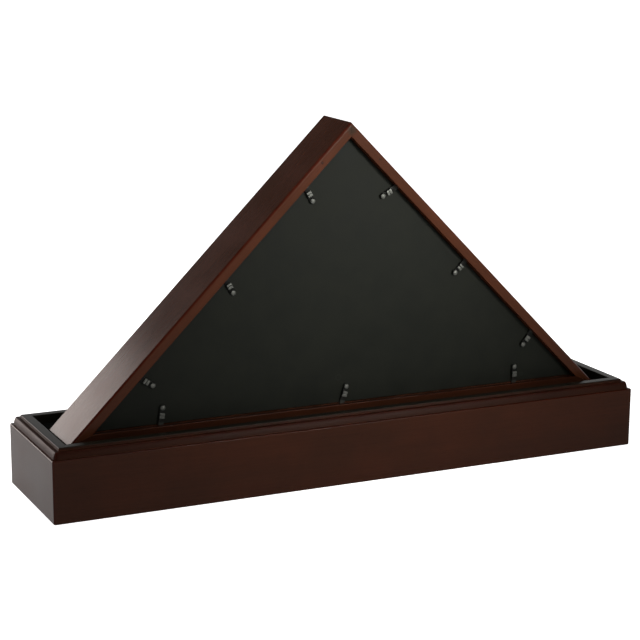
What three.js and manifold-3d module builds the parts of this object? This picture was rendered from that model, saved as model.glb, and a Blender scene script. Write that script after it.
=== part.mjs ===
// A triangular display case for a folded flag, standing in the shallow recess of a long
// moulded pedestal. The case has a glass front, mitred rails and a lift-off back panel
// held by nine turn buttons.
// Millimetres, +Z up, +Y towards the back. The origin is on the floor, at the middle of
// the pedestal. Left and right are as seen from the glass front, so right is +X.
import * as THREE from "three";
import { mergeVertices } from "three/addons/utils/BufferGeometryUtils.js";
import Module from "manifold-3d";

const wasm = await Module();
wasm.setup();

// Clearance between touching pieces, measured square to the faces.
const seam = 0.3;

// Pedestal: outer size, then heights above the floor.
const pedestalLength = 727;
const pedestalDepth = 161;
const boardThickness = 14;
const boardFoot = 0.6;
const boardTop = 70.8;
const capStep = 78.8;
const rimTop = 82;
const recessFloor = 71.7;
// How far the cap moulding and its rim stand in from the outer faces.
const capFootInset = 2.6;
const capMiddleInset = 3.4;
const capInset = 4.9;
const rimInset = 9.9;
const openingInset = 20.7;
const boardTopRound = 1.5;
const boardFootRound = 1;
const rimRound = 0.9;
const rimInnerRound = 0.8;
const rimFlare = 0.3;
const capStepRound = 0.8;

// Inside the pedestal.
const deckThickness = 6;
const feltThickness = 0.9;
const deckTop = recessFloor - feltThickness - seam;
const bottomPanelLow = 4;
const bottomPanelThickness = 5;
const cornerBlock = 22;
const ledgerSize = 10;
const ledgerLength = 600;
// Four felt pads under the bottom panel, proud of the boards.
const padRadius = 6;
const padFromEnd = 44;
const padFromSide = 24;

// Flag case: a right-angled triangle with its long side down.
const caseWidth = 669;
const caseDepth = 73.7;
const caseFoot = recessFloor + seam;
const caseApex = caseFoot + caseWidth / 2;
const caseRear = 43;
const caseFront = caseRear - caseDepth;
const edgeRound = 3;

// Rail section: widths are measured in from the rail's outer face.
const borderWidth = 11.4;
const ledgeWidth = 17;
const frontLipWidth = 24;
const frontLipThickness = 6;
const frontLipChamfer = 2;
const glassThickness = 2.4;
const stopSize = 6;
const stopChamfer = 1.5;

// Back panel and the groove that the turn buttons catch.
const panelRecess = 9.7;
const panelThickness = 3;
const panelRear = caseRear - panelRecess;
const panelFront = panelRear - panelThickness;
const panelClearance = 0.6;
const liningThickness = 0.8;
const liningMargin = 1;
const grooveDepth = 3;
const grooveStart = panelRear + 0.6;
const grooveEnd = panelRear + 3;

// Turn buttons and their rivets.
const buttonReach = 21;
const buttonHalfWidth = 3;
const buttonThickness = 1.2;
const buttonLift = 1;
const buttonTipRound = 0.8;
const gripStart = 5.9;
const gripEnd = 11.9;
const gripHeight = 1.9;
const gripSlope = 0.4;
const gripGrooveHalfWidth = 0.8;
const gripGrooveDepth = 0.6;
const rivetHeadRadius = 3.3;
const rivetHeadHeight = 1.7;
const rivetShankRadius = 1.4;
const rivetCollarRadius = 2.8;
const rivetEndFromFront = 0.4;
const pivotInset = 30.3;
// Distance of each pivot along its rail, from the apex or from the middle of the foot,
// and how far the button leans from square to the rail, in degrees.
const buttonPlaces = {
  right: [
    { along: 92.3, lean: 18 },
    { along: 227.8, lean: 17 },
    { along: 362.5, lean: -10.5 },
  ],
  left: [
    { along: 92.3, lean: 15 },
    { along: 227.8, lean: 1 },
    { along: 362.5, lean: -7 },
  ],
  bottom: [
    { along: 223.7, lean: 7 },
    { along: 0, lean: 14.5 },
    { along: -223.7, lean: -1 },
  ],
};

// Small fixings.
const bradRadius = 0.6;
const bradLength = 12;
const bradSink = 0.5;
const bradFromApex = 56;
const nailHalfLength = 4;
const nailThickness = 0.8;
const nailHeight = 9;
const nailSink = 1;
const screwShankRadius = 1.75;
const screwHeadRadius = 3.6;
const screwHeadHeight = 2.2;
const screwLength = 22;
const screwPointLength = 3;
const screwSink = 0.2;

const apexNailInset = 6.8;
const footNailInset = 6.3;
// A hole is cut past an open face by this, or by this many clearances.
const holeMargin = 1;
const holeOverrun = 4;

const diagonal = Math.SQRT1_2;
const roundSegments = 16;

const colours = {
  wood: { color: 0x4a2519, roughness: 0.35, metalness: 0 },
  pine: { color: 0xb08a5a, roughness: 0.7, metalness: 0 },
  plywood: { color: 0xa98458, roughness: 0.75, metalness: 0 },
  panel: { color: 0x2b2d29, roughness: 0.6, metalness: 0 },
  felt: { color: 0x0d0d0e, roughness: 0.95, metalness: 0 },
  glass: { color: 0xdfe8e6, roughness: 0.04, metalness: 0 },
  blackMetal: { color: 0x2a2a28, roughness: 0.35, metalness: 0.8 },
  steel: { color: 0x8d8f8f, roughness: 0.35, metalness: 0.9 },
};

const object = new THREE.Group();
const groups = {
  pedestal: new THREE.Group(),
  flagCase: new THREE.Group(),
  backPanel: new THREE.Group(),
};
object.add(groups.pedestal, groups.flagCase, groups.backPanel);

function addMesh(group, name, colour, geometry) {
  const mesh = new THREE.Mesh(geometry, new THREE.MeshStandardMaterial(colours[colour]));
  mesh.name = name;
  group.add(mesh);
  return mesh;
}

// Solids.

function toSolid(geometry) {
  const bare = geometry.clone();
  bare.deleteAttribute("normal");
  bare.deleteAttribute("uv");
  const merged = mergeVertices(bare, 1e-4);
  return new wasm.Manifold(
    new wasm.Mesh({
      numProp: 3,
      vertProperties: new Float32Array(merged.attributes.position.array),
      triVerts: new Uint32Array(merged.index.array),
    }),
  );
}

function toGeometry(solid) {
  const mesh = solid.getMesh();
  const geometry = new THREE.BufferGeometry();
  geometry.setAttribute("position", new THREE.BufferAttribute(mesh.vertProperties, 3));
  geometry.setIndex(new THREE.BufferAttribute(mesh.triVerts, 1));
  const loose = geometry.toNonIndexed();
  loose.computeVertexNormals();
  return loose;
}

function cut(geometry, tools) {
  let solid = toSolid(geometry);
  for (const tool of tools) solid = solid.subtract(toSolid(tool));
  return toGeometry(solid);
}

function join(geometries) {
  let solid = toSolid(geometries[0]);
  for (const other of geometries.slice(1)) solid = solid.add(toSolid(other));
  return toGeometry(solid);
}

// Points of an arc from one angle to another, in degrees, ends included.
function arc(centreX, centreY, radius, from, to, steps) {
  const points = [];
  for (let i = 0; i <= steps; i += 1) {
    const angle = THREE.MathUtils.degToRad(from + ((to - from) * i) / steps);
    points.push([centreX + radius * Math.cos(angle), centreY + radius * Math.sin(angle)]);
  }
  return points;
}

// A closed bar between two cut ends. Each end turns a section point into a place.
function barBetween(section, startPlace, endPlace) {
  const count = section.length;
  const outline = section.map(([u, v]) => new THREE.Vector2(u, v));
  const ring = [...section];
  if (THREE.ShapeUtils.isClockWise(outline)) {
    outline.reverse();
    ring.reverse();
  }
  const caps = THREE.ShapeUtils.triangulateShape(outline, []);
  const places = ring.map(startPlace).concat(ring.map(endPlace));
  const faces = [];
  for (let i = 0; i < count; i += 1) {
    const next = (i + 1) % count;
    faces.push([i, next, count + next], [i, count + next, count + i]);
  }
  for (const [a, b, c] of caps) {
    faces.push([a, c, b], [count + a, count + b, count + c]);
  }
  let volume = 0;
  for (const [a, b, c] of faces) volume += places[a].dot(places[b].clone().cross(places[c]));
  const positions = [];
  for (const [a, b, c] of faces) {
    const order = volume > 0 ? [a, b, c] : [a, c, b];
    for (const corner of order) positions.push(...places[corner].toArray());
  }
  const geometry = new THREE.BufferGeometry();
  geometry.setAttribute("position", new THREE.Float32BufferAttribute(positions, 3));
  geometry.computeVertexNormals();
  return geometry;
}

// A flat plate: an outline in X and Z, from one Y to another.
function plateAlongY(outline, lowY, highY) {
  return barBetween(
    outline,
    ([x, z]) => new THREE.Vector3(x, lowY, z),
    ([x, z]) => new THREE.Vector3(x, highY, z),
  );
}

function box(low, high) {
  const size = low.map((value, i) => high[i] - value);
  const geometry = new THREE.BoxGeometry(...size);
  geometry.translate(low[0] + size[0] / 2, low[1] + size[1] / 2, low[2] + size[2] / 2);
  return geometry;
}

// A turned piece about +Z, then laid along +Y when asked.
function turned(profile, alongY = false) {
  const points = profile.map(([radius, height]) => new THREE.Vector2(radius, height));
  const geometry = new THREE.LatheGeometry(points, roundSegments);
  if (!alongY) geometry.rotateX(Math.PI / 2);
  return geometry;
}

// Pedestal.

// The four sides of the pedestal: where each bar runs, as signs of its two corners.
const pedestalSides = {
  back: [[-1, 1], [1, 1]],
  front: [[-1, -1], [1, -1]],
  right: [[1, -1], [1, 1]],
  left: [[-1, -1], [-1, 1]],
};

// A mitred bar round the pedestal. The section gives inset from the outer face and height.
function pedestalBar(section, corners) {
  const [start, end] = corners;
  const alongX = start[0] !== end[0];
  const trim = (seam / 2) * Math.SQRT2;
  const place = (corner) => ([inset, height]) => {
    const x = corner[0] * (pedestalLength / 2 - inset - (alongX ? trim : 0));
    const y = corner[1] * (pedestalDepth / 2 - inset - (alongX ? 0 : trim));
    return new THREE.Vector3(x, y, height);
  };
  return barBetween(section, place(start), place(end));
}

const boardSection = [
  [boardThickness, boardFoot],
  [boardThickness, boardTop],
  ...arc(boardTopRound, boardTop - boardTopRound, boardTopRound, 90, 180, 3),
  ...arc(boardFootRound, boardFoot + boardFootRound, boardFootRound, 180, 270, 3),
];

// A riser that leans in, a step and the flat rim round the recess.
const capFoot = boardTop + seam;
const capSection = [
  [openingInset, capFoot],
  ...arc(openingInset - rimInnerRound, rimTop - rimInnerRound, rimInnerRound, 0, 90, 2),
  ...arc(rimInset + rimRound, rimTop - rimRound, rimRound, 90, 180, 2),
  [rimInset - rimFlare, capStep],
  [capInset + capStepRound, capStep],
  [capInset, capStep - capStepRound],
  [capMiddleInset, (capFoot + capStep) / 2],
  [capFootInset, capFoot],
];

for (const [side, corners] of Object.entries(pedestalSides)) {
  addMesh(groups.pedestal, `base_board_${side}`, "wood", pedestalBar(boardSection, corners));
  addMesh(groups.pedestal, `cap_moulding_${side}`, "wood", pedestalBar(capSection, corners));
}

const hollowX = pedestalLength / 2 - boardThickness - seam;
const hollowY = pedestalDepth / 2 - boardThickness - seam;
const openingX = pedestalLength / 2 - openingInset - seam;
const openingY = pedestalDepth / 2 - openingInset - seam;
const bottomPanelTop = bottomPanelLow + bottomPanelThickness;
const deckLow = deckTop - deckThickness;

addMesh(
  groups.pedestal,
  "recess_deck",
  "plywood",
  box([-hollowX, -hollowY, deckLow], [hollowX, hollowY, deckTop]),
);
addMesh(
  groups.pedestal,
  "recess_felt",
  "felt",
  box([-openingX, -openingY, deckTop + seam], [openingX, openingY, recessFloor]),
);

// A countersunk wood screw, head down, with its tip up. Grow widens it to cut its hole.
function screwGeometry(x, y, grow) {
  const low = bottomPanelLow + screwSink;
  const tip = low + screwLength + grow * holeOverrun;
  const geometry = turned([
    [0, low - grow * holeOverrun],
    [screwHeadRadius + grow, low - grow * holeOverrun],
    [screwHeadRadius + grow, low + screwSink / 2],
    [screwShankRadius + grow, low + screwHeadHeight],
    [screwShankRadius + grow, tip - screwPointLength],
    [0, tip],
  ]);
  geometry.translate(x, y, 0);
  return geometry;
}

const cornerSigns = {
  back_right: [1, 1],
  back_left: [-1, 1],
  front_right: [1, -1],
  front_left: [-1, -1],
};
const screwHoles = [];
for (const [corner, [signX, signY]] of Object.entries(cornerSigns)) {
  const outerX = signX * hollowX;
  const outerY = signY * hollowY;
  const innerX = signX * (hollowX - cornerBlock);
  const innerY = signY * (hollowY - cornerBlock);
  const screwX = (outerX + innerX) / 2;
  const screwY = (outerY + innerY) / 2;
  const hole = screwGeometry(screwX, screwY, seam);
  screwHoles.push(hole);
  const block = box(
    [Math.min(outerX, innerX), Math.min(outerY, innerY), bottomPanelTop + seam],
    [Math.max(outerX, innerX), Math.max(outerY, innerY), deckLow - seam],
  );
  addMesh(groups.pedestal, `glue_block_${corner}`, "pine", cut(block, [hole]));
  const screw = screwGeometry(screwX, screwY, 0);
  addMesh(groups.pedestal, `bottom_screw_${corner}`, "steel", screw);
  const padTop = bottomPanelLow - seam;
  const pad = turned([[0, 0], [padRadius, 0], [padRadius, padTop], [0, padTop]]);
  pad.translate(
    signX * (pedestalLength / 2 - padFromEnd),
    signY * (pedestalDepth / 2 - padFromSide),
    0,
  );
  addMesh(groups.pedestal, `felt_pad_${corner}`, "felt", pad);
}
addMesh(
  groups.pedestal,
  "bottom_panel",
  "plywood",
  cut(box([-hollowX, -hollowY, bottomPanelLow], [hollowX, hollowY, bottomPanelTop]), screwHoles),
);
for (const [side, sign] of [["back", 1], ["front", -1]]) {
  const outer = sign * hollowY;
  const inner = sign * (hollowY - ledgerSize);
  const ledger = box(
    [-ledgerLength / 2, Math.min(outer, inner), deckLow - seam - ledgerSize],
    [ledgerLength / 2, Math.max(outer, inner), deckLow - seam],
  );
  addMesh(groups.pedestal, `deck_ledger_${side}`, "pine", ledger);
}

// Flag case.

// Corners of the triangle that lies a given distance in from the outer faces.
function apexAt(inset) {
  return [0, caseApex - inset * Math.SQRT2];
}
function footCornerAt(sign, inset) {
  return [sign * (caseWidth / 2 - inset * (1 + Math.SQRT2)), caseFoot + inset];
}
function triangleAt(inset) {
  return [apexAt(inset), footCornerAt(1, inset), footCornerAt(-1, inset)];
}

// Direction along each rail, from its start corner to its end corner.
const footRightAt = (inset) => footCornerAt(1, inset);
const footLeftAt = (inset) => footCornerAt(-1, inset);
const railRuns = {
  right: { start: apexAt, end: footRightAt },
  left: { start: apexAt, end: footLeftAt },
  bottom: { start: footRightAt, end: footLeftAt },
};
// Trim along a rail that leaves the seam at a square corner and at a sharp one.
const apexTrim = (seam / 2) * Math.SQRT2;
const footTrim = seam / 2 / Math.sin(Math.PI / 8);

// A mitred bar of the triangular frame. The section gives inset and Y.
function railBar(section, side) {
  const run = railRuns[side];
  const from = new THREE.Vector2(...run.start(0));
  const to = new THREE.Vector2(...run.end(0));
  const direction = to.sub(from).normalize();
  const startTrim = side === "bottom" ? footTrim : apexTrim;
  const place = (corner, trim) => ([inset, y]) => {
    const [x, z] = corner(inset);
    return new THREE.Vector3(x + direction.x * trim, y, z + direction.y * trim);
  };
  return barBetween(section, place(run.start, startTrim), place(run.end, -footTrim));
}

const lipBack = caseFront + frontLipThickness;
const glassFront = lipBack + seam;
const glassBack = glassFront + glassThickness;
const stopFront = glassBack + seam;
const ledgeY = panelFront - seam;

const railSection = [
  ...arc(edgeRound, caseRear - edgeRound, edgeRound, 180, 90, 4),
  [borderWidth, caseRear],
  [borderWidth, grooveEnd],
  [borderWidth - grooveDepth, grooveEnd],
  [borderWidth - grooveDepth, grooveStart],
  [borderWidth, grooveStart],
  [borderWidth, ledgeY],
  [ledgeWidth, ledgeY],
  [ledgeWidth, lipBack],
  [frontLipWidth, lipBack],
  [frontLipWidth, caseFront + frontLipChamfer],
  [frontLipWidth - frontLipChamfer, caseFront],
  ...arc(edgeRound, caseFront + edgeRound, edgeRound, 270, 180, 4),
];
const stopInset = ledgeWidth + seam;
const stopSection = [
  [stopInset, stopFront],
  [stopInset, stopFront + stopSize],
  [stopInset + stopSize - stopChamfer, stopFront + stopSize],
  [stopInset + stopSize, stopFront + stopSize - stopChamfer],
  [stopInset + stopSize, stopFront],
];

// A pin in the border behind the apex, one on each slope.
function brad(sign, grow) {
  const head = caseRear - bradSink + grow * holeOverrun;
  const tip = caseRear - bradSink - bradLength - grow;
  const geometry = turned(
    [
      [0, tip],
      [bradRadius + grow, tip],
      [bradRadius + grow, head],
      [0, head],
    ],
    true,
  );
  const inset = borderWidth / 2;
  geometry.translate(
    sign * (bradFromApex - inset) * diagonal,
    0,
    caseApex - (bradFromApex + inset) * diagonal,
  );
  return geometry;
}

// A flat steel fastener driven from behind across a mitre, at a slope in degrees.
function mitreNail([x, z], slope, grow) {
  const geometry = box(
    [-nailHalfLength - grow, caseRear - nailSink - nailHeight - grow, -nailThickness / 2 - grow],
    [nailHalfLength + grow, caseRear - nailSink + grow * holeOverrun, nailThickness / 2 + grow],
  );
  geometry.rotateY(-THREE.MathUtils.degToRad(slope));
  geometry.translate(x, 0, z);
  return geometry;
}

const mitreNails = {
  apex: { place: apexAt(apexNailInset), slope: 0 },
  foot_right: { place: footRightAt(footNailInset), slope: 67.5 },
  foot_left: { place: footLeftAt(footNailInset), slope: -67.5 },
};
const nailHoles = {};
for (const [corner, { place, slope }] of Object.entries(mitreNails)) {
  nailHoles[corner] = mitreNail(place, slope, seam);
  addMesh(groups.flagCase, `mitre_nail_${corner}`, "steel", mitreNail(place, slope, 0));
}
addMesh(groups.flagCase, "apex_pin_right", "steel", brad(1, 0));
addMesh(groups.flagCase, "apex_pin_left", "steel", brad(-1, 0));

const railHoles = {
  right: [nailHoles.apex, nailHoles.foot_right, brad(1, seam)],
  left: [nailHoles.apex, nailHoles.foot_left, brad(-1, seam)],
  bottom: [nailHoles.foot_right, nailHoles.foot_left],
};
for (const side of Object.keys(railRuns)) {
  const rail = cut(railBar(railSection, side), railHoles[side]);
  addMesh(groups.flagCase, `rail_${side}`, "wood", rail);
  addMesh(groups.flagCase, `glass_stop_${side}`, "wood", railBar(stopSection, side));
}
addMesh(
  groups.flagCase,
  "glass_pane",
  "glass",
  plateAlongY(triangleAt(ledgeWidth + panelClearance), glassFront, glassBack),
);

// Back panel, rivets and turn buttons.

// Where a pivot is, and which way its button points, in degrees from +X towards +Z.
function pivotOf(side, { along, lean }) {
  if (side === "bottom") return { x: along, z: caseFoot + pivotInset, heading: lean - 90 };
  const x = (along - pivotInset) * diagonal;
  const z = caseApex - (along + pivotInset) * diagonal;
  if (side === "right") return { x, z, heading: 45 + lean };
  return { x: -x, z, heading: 135 + lean };
}

const stripLow = panelRear + buttonLift;
const stripHigh = stripLow + buttonThickness;
const gripOverlap = 0.2;

// A flat strip with a round pivot end and a raised, ridged finger grip.
function buttonGeometry() {
  const strip = plateAlongY(
    [
      ...arc(0, 0, buttonHalfWidth, 90, 270, 8),
      ...arc(buttonReach - buttonTipRound, buttonTipRound - buttonHalfWidth, buttonTipRound, 270, 360, 2),
      ...arc(buttonReach - buttonTipRound, buttonHalfWidth - buttonTipRound, buttonTipRound, 0, 90, 2),
    ],
    stripLow,
    stripHigh,
  );
  const gripTop = stripHigh + gripHeight;
  const gripMiddle = (gripStart + gripEnd) / 2;
  const grooveBottom = gripTop - gripGrooveDepth;
  const gripSection = [
    [gripStart, stripLow + gripOverlap],
    [gripStart + gripSlope, gripTop],
    [gripMiddle - gripGrooveHalfWidth, gripTop],
    [gripMiddle - gripGrooveHalfWidth / 2, grooveBottom],
    [gripMiddle + gripGrooveHalfWidth / 2, grooveBottom],
    [gripMiddle + gripGrooveHalfWidth, gripTop],
    [gripEnd - gripSlope, gripTop],
    [gripEnd, stripLow + gripOverlap],
  ];
  const gripHalf = buttonHalfWidth - gripOverlap / 2;
  const grip = barBetween(
    gripSection,
    ([u, y]) => new THREE.Vector3(u, y, -gripHalf),
    ([u, y]) => new THREE.Vector3(u, y, gripHalf),
  );
  const hole = turned(
    [
      [0, stripLow - holeMargin],
      [rivetShankRadius + seam, stripLow - holeMargin],
      [rivetShankRadius + seam, stripHigh + holeMargin],
      [0, stripHigh + holeMargin],
    ],
    true,
  );
  return cut(join([strip, grip]), [hole]);
}

// Shank through strip and panel, a spacing collar between them and a domed head.
function rivetGeometry() {
  const headLow = stripHigh + seam;
  const innerEnd = panelFront + rivetEndFromFront;
  const domeRadius = (rivetHeadRadius ** 2 + rivetHeadHeight ** 2) / (2 * rivetHeadHeight);
  const domeEdge = THREE.MathUtils.radToDeg(Math.acos(rivetHeadRadius / domeRadius));
  return turned(
    [
      [0, innerEnd],
      [rivetShankRadius, innerEnd],
      [rivetShankRadius, panelRear + seam],
      [rivetCollarRadius, panelRear + seam],
      [rivetCollarRadius, stripLow - seam],
      [rivetShankRadius, stripLow - seam],
      [rivetShankRadius, headLow],
      ...arc(0, headLow + rivetHeadHeight - domeRadius, domeRadius, domeEdge, 90, 4).slice(0, -1),
      [0, headLow + rivetHeadHeight],
    ],
    true,
  );
}

const buttonShape = buttonGeometry();
const rivetShape = rivetGeometry();
const rivetHoles = [];
for (const [side, places] of Object.entries(buttonPlaces)) {
  places.forEach((place, index) => {
    const { x, z, heading } = pivotOf(side, place);
    const label = `${side}_${index + 1}`;
    const buttonGroup = new THREE.Group();
    buttonGroup.position.set(x, 0, z);
    buttonGroup.rotation.y = -THREE.MathUtils.degToRad(heading);
    object.add(buttonGroup);
    addMesh(buttonGroup, `turn_button_${label}`, "blackMetal", buttonShape);
    const rivet = addMesh(groups.backPanel, `rivet_${label}`, "blackMetal", rivetShape);
    rivet.position.set(x, 0, z);
    const hole = turned(
      [
        [0, panelFront - holeMargin],
        [rivetShankRadius + seam, panelFront - holeMargin],
        [rivetShankRadius + seam, panelRear + holeMargin],
        [0, panelRear + holeMargin],
      ],
      true,
    );
    hole.translate(x, 0, z);
    rivetHoles.push(hole);
  });
}
const panelOutline = triangleAt(borderWidth + panelClearance);
addMesh(
  groups.backPanel,
  "back_panel",
  "panel",
  cut(plateAlongY(panelOutline, panelFront, panelRear), rivetHoles),
);
addMesh(
  groups.backPanel,
  "panel_lining",
  "felt",
  plateAlongY(
    triangleAt(ledgeWidth + panelClearance + liningMargin),
    panelFront - seam - liningThickness,
    panelFront - seam,
  ),
);

export default object;
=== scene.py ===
import math
import bmesh
import bpy
from mathutils import Matrix, Vector, noise


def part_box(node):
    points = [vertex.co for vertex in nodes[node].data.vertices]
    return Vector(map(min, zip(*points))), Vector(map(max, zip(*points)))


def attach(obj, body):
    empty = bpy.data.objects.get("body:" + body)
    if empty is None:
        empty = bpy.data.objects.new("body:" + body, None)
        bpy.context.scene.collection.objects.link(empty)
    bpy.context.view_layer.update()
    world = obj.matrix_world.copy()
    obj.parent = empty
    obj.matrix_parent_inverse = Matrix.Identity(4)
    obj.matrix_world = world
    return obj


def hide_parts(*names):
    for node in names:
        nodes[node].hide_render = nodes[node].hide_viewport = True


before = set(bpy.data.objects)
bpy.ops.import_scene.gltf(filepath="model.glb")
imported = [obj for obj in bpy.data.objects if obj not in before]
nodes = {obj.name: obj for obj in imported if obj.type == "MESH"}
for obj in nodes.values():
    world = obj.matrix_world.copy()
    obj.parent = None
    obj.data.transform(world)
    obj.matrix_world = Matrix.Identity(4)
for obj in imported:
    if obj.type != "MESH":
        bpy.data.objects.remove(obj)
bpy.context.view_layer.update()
mm = 0.001
print("frame loaded:", len(nodes), "nodes")


# camera

cameraSettings = {
    "place": (0.9062, 1.8741, 0.6549),
    "azimuth": 154.612,  # degrees, 0 looks along +Y
    "elevation": 13.043,
    "roll": 0.414,
    "lens": 104.15,
    "sensor": 36,
    "farthest": 100,
}


def aimedMatrix(place, back, roll=0.0):
    back = Vector(back).normalized()
    right = Vector((0, 0, 1)).cross(back).normalized()
    up = back.cross(right)
    turned = right * math.cos(roll) + up * math.sin(roll)
    raised = up * math.cos(roll) - right * math.sin(roll)
    axes = Matrix((turned, raised, back)).transposed().to_4x4()
    return Matrix.Translation(place) @ axes


def makeCamera(settings):
    data = bpy.data.cameras.new("studioCamera")
    data.lens = settings["lens"]
    data.sensor_width = settings["sensor"]
    data.clip_end = settings["farthest"]
    camera = bpy.data.objects.new("studioCamera", data)
    bpy.context.scene.collection.objects.link(camera)
    azimuth = math.radians(settings["azimuth"])
    elevation = math.radians(settings["elevation"])
    back = (
        math.sin(azimuth) * math.cos(elevation),
        -math.cos(azimuth) * math.cos(elevation),
        math.sin(elevation),
    )
    camera.matrix_world = aimedMatrix(settings["place"], back, math.radians(settings["roll"]))
    bpy.context.scene.camera = camera


makeCamera(cameraSettings)
bpy.context.scene.view_settings.view_transform = "Standard"


# node helpers

def put(tree, kind, inputs=None, **settings):
    node = tree.nodes.new(kind)
    for key, value in settings.items():
        setattr(node, key, value)
    for key, value in (inputs or {}).items():
        socket = node.inputs[key]
        if isinstance(value, bpy.types.NodeSocket):
            tree.links.new(value, socket)
        else:
            socket.default_value = value
    return node


def maths(tree, operation, first, second=0.0):
    return put(tree, "ShaderNodeMath", {0: first, 1: second}, operation=operation).outputs[0]


def mixColours(tree, factor, first, second, blend="MIX"):
    inputs = {0: factor, 6: first, 7: second}
    node = put(tree, "ShaderNodeMix", inputs, data_type="RGBA", blend_type=blend)
    return node.outputs[2]


def ranged(tree, value, low, high, newLow, newHigh):
    # carries low to high over to the new low to high, and stops at the ends
    inputs = {"Value": value, "From Min": low, "From Max": high, "To Min": newLow, "To Max": newHigh}
    return put(tree, "ShaderNodeMapRange", inputs).outputs["Result"]


def grainNoise(tree, vector, stretch, detail=2.0, roughness=0.5, distortion=0.0):
    stretched = put(tree, "ShaderNodeMapping", {"Vector": vector, "Scale": stretch})
    inputs = {
        "Vector": stretched.outputs["Vector"],
        "Scale": 1.0,
        "Detail": detail,
        "Roughness": roughness,
        "Distortion": distortion,
    }
    return put(tree, "ShaderNodeTexNoise", inputs).outputs["Fac"]


def newMaterial(name):
    material = bpy.data.materials.new(name)
    material.use_nodes = True
    tree = material.node_tree
    return material, tree, tree.nodes["Principled BSDF"]


def link(tree, output, shader, socket):
    tree.links.new(output, shader.inputs[socket])


wideNoise = (0.3, 0.7)  # where nearly all of a noise's values lie
middleNoise = (0.35, 0.65)
fineRelief = 0.0001  # metres that a full bump stands for


def objectPlace(tree):
    return put(tree, "ShaderNodeTexCoord").outputs["Object"]


def shared(tree, first, second, share):
    # the two mixed, with this share of the first
    part = maths(tree, "MULTIPLY", first, share)
    return maths(tree, "ADD", part, maths(tree, "MULTIPLY", second, 1 - share))


def grey(tree, value):
    return put(tree, "ShaderNodeCombineXYZ", {0: value, 1: value, 2: value}).outputs[0]


def addBump(tree, shader, height, strength, distance=fineRelief):
    inputs = {"Height": height, "Strength": strength, "Distance": distance}
    bump = put(tree, "ShaderNodeBump", inputs)
    link(tree, bump.outputs["Normal"], shader, "Normal")


def edgeMask(tree, radius, low, high):
    # how far the rounded-over normal leans from the true one: high on edges only
    rounded = put(tree, "ShaderNodeBevel", {"Radius": radius}, samples=4)
    true = put(tree, "ShaderNodeNewGeometry")
    vectors = {0: rounded.outputs[0], 1: true.outputs["Normal"]}
    lean = put(tree, "ShaderNodeVectorMath", vectors, operation="DOT_PRODUCT")
    return ranged(tree, lean.outputs["Value"], high, low, 0.0, 1.0)


def spotMask(tree, place, centre, inner, outer):
    # 1 within the inner radius of a point, 0 beyond the outer one
    offset = put(tree, "ShaderNodeVectorMath", {0: place, 1: centre}, operation="DISTANCE")
    return ranged(tree, offset.outputs["Value"], inner, outer, 1.0, 0.0)


# stained mahogany

stainSettings = {
    "dark": (0.0192, 0.0062, 0.0028, 1),
    "red": (0.0248, 0.0071, 0.0030, 1),
    "worn": (0.0800, 0.0260, 0.0120, 1),
    "filler": (0.0150, 0.0092, 0.0052, 1),
    # painted shade in and around the drilled pin holes
    "pinHole": (0.0030, 0.0015, 0.0010, 1),
    "spotShare": 0.85,
    "rollShade": (0.0210, 0.0030, 0.0013, 1),  # painted shade on the rounded edges that roll towards the back, where less light falls
    "rollShadeShare": 0.95,
    "rollShadeRise": (0.1, 0.4),  # how far an edge faces the back: starts, is full
    "rollShadeFall": (0.8, 0.97),  # and thins out again
    "blackened": (0.0082, 0.0068, 0.0046, 1),  # rim top and recess walls
    "ribbon": (2.5, 32.0, 32.0),  # stretch along and across the grain, per metre
    "ribbonNoise": (3.0, 0.55, 0.4),  # detail, roughness, distortion
    "fibre": (14.0, 480.0, 480.0),
    "fibreNoise": (3.0, 0.6),
    "pore": (110.0, 2300.0, 2300.0),
    "poreNoise": (1.0,),
    "blotch": (17.0, 17.0, 17.0),
    "blotchNoise": (2.0, 0.5),
    "ribbonShare": 0.4,  # against the blotches
    "redRange": (0.36, 0.64),
    "streakSpread": 0.10,  # how much lighter or darker the fibres go
    "poreRange": (0.34, 0.42),
    "poreDepth": 0.80,
    "edgeRadius": 0.0011,
    "edgeLean": (0.86, 0.99),
    "wearRange": (0.4, 0.62),
    "wear": (0.05, 0.5),
    "wornDulling": 0.2,
    "gloss": (0.21, 0.27),  # roughness range of the lacquer
    "mouldingGloss": (0.38, 0.46),
    "reliefShare": 0.5,
    "bump": 0.04,
    "specular": 0.05,
    "mouldingSpecular": 0.028,
}
grainTurns = {
    "alongX": (0, 0, 0),
    "alongY": (0, 0, math.radians(90)),
    "downRight": (0, math.radians(-45), 0),
    "downLeft": (0, math.radians(45), 0),
}


def rimMask(tree, place, rim):
    # 1 on the rim's top and on everything inside it, 0 on the riser and the step
    axes = put(tree, "ShaderNodeSeparateXYZ", {0: place}).outputs
    high = ranged(tree, axes[2], rim["height"], rim["height"] + rim["blend"], 0.0, 1.0)
    inside = 1.0
    for axis, half in enumerate(rim["halves"]):
        depth = maths(tree, "ABSOLUTE", axes[axis])
        depth = ranged(tree, depth, half - rim["blend"], half, 1.0, 0.0)
        inside = maths(tree, "MULTIPLY", inside, depth)
    return maths(tree, "MAXIMUM", high, inside)


def paintedRollShade(tree):
    # painted shade: 1 on the edges that roll over towards the back, where less light falls
    facing = put(tree, "ShaderNodeNewGeometry").outputs["Normal"]
    facing = put(tree, "ShaderNodeSeparateXYZ", {0: facing}).outputs["Y"]
    rise = ranged(tree, facing, *stainSettings["rollShadeRise"], 0.0, 1.0)
    fall = ranged(tree, facing, *stainSettings["rollShadeFall"], 1.0, 0.0)
    return maths(tree, "MULTIPLY", rise, fall)


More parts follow.
